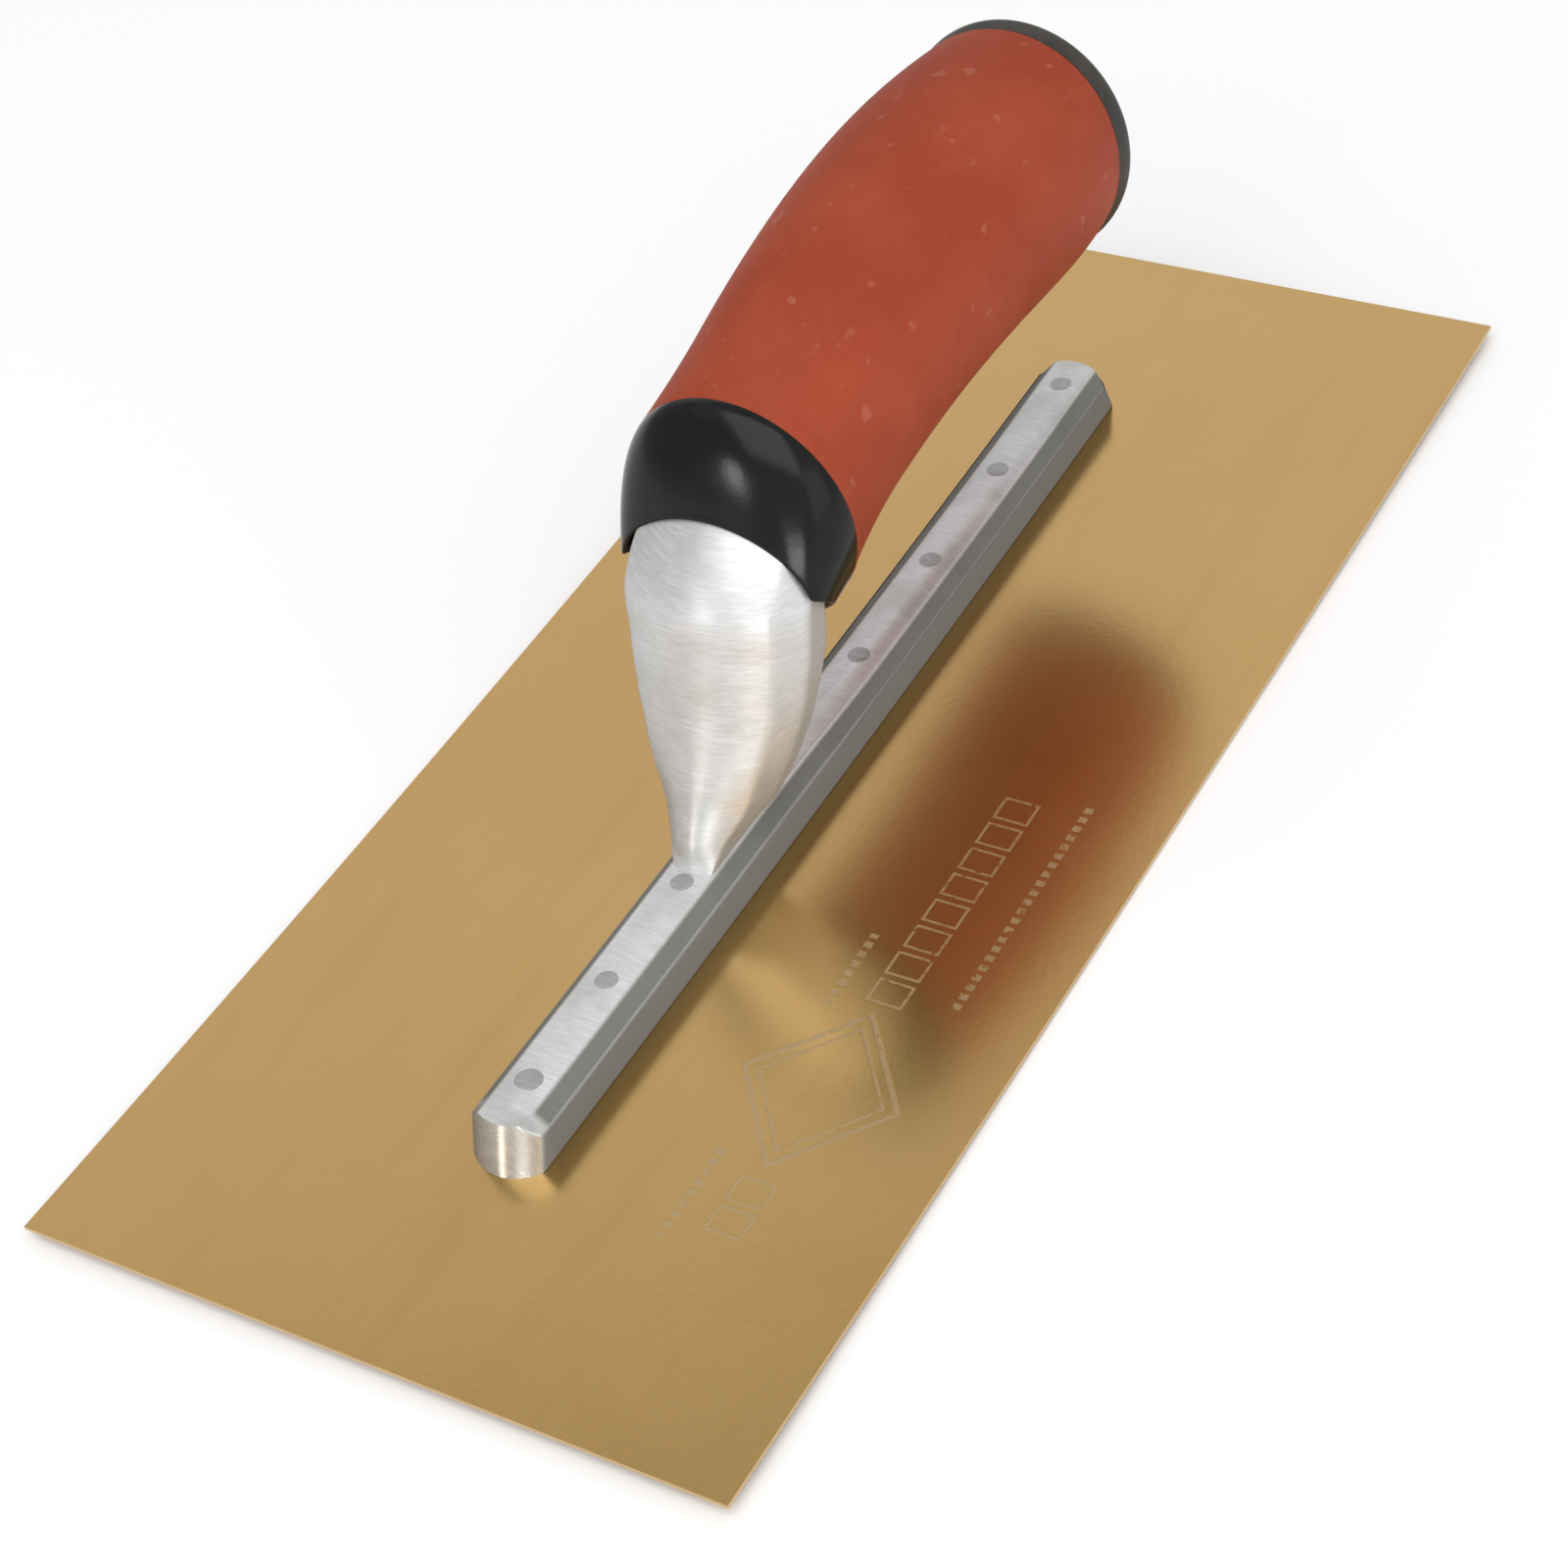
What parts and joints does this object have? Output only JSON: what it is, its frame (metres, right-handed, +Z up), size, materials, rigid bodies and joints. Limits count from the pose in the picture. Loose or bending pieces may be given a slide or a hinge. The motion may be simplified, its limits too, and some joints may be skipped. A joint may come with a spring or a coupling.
{
  "type": "finishing trowel",
  "caption": "Rectangular steel finishing trowel: bowed blade, riveted cast spine and shank, curved soft-grip handle.",
  "frame": {"origin": "centre of the blade's underside, on its middle facet, which is the lowest face", "axes": "+X along the blade towards the toe, +Z up from the blade to the handle, +Y across the blade"},
  "size_m": [0.2794, 0.127, 0.0896],
  "materials": {
    "blade": "satin, golden tint",
    "casting": "belt-ground cast surface",
    "rivets": "ground flush",
    "core": "semi-gloss moulded",
    "grip": "matte soft overmould",
    "cap": "satin moulded",
    "hardware": "plated"
  },
  "bodies": {
    "root": {"blade": "blade", "mounting": "casting", "rivet_1": "rivets", "rivet_2": "rivets", "rivet_3": "rivets", "rivet_4": "rivets", "rivet_5": "rivets", "rivet_6": "rivets", "rivet_7": "rivets", "handle_core": "core", "grip_sleeve": "grip", "butt_cap": "cap", "tie_bolt": "hardware", "washer": "hardware"}
  },
  "joints": []
}
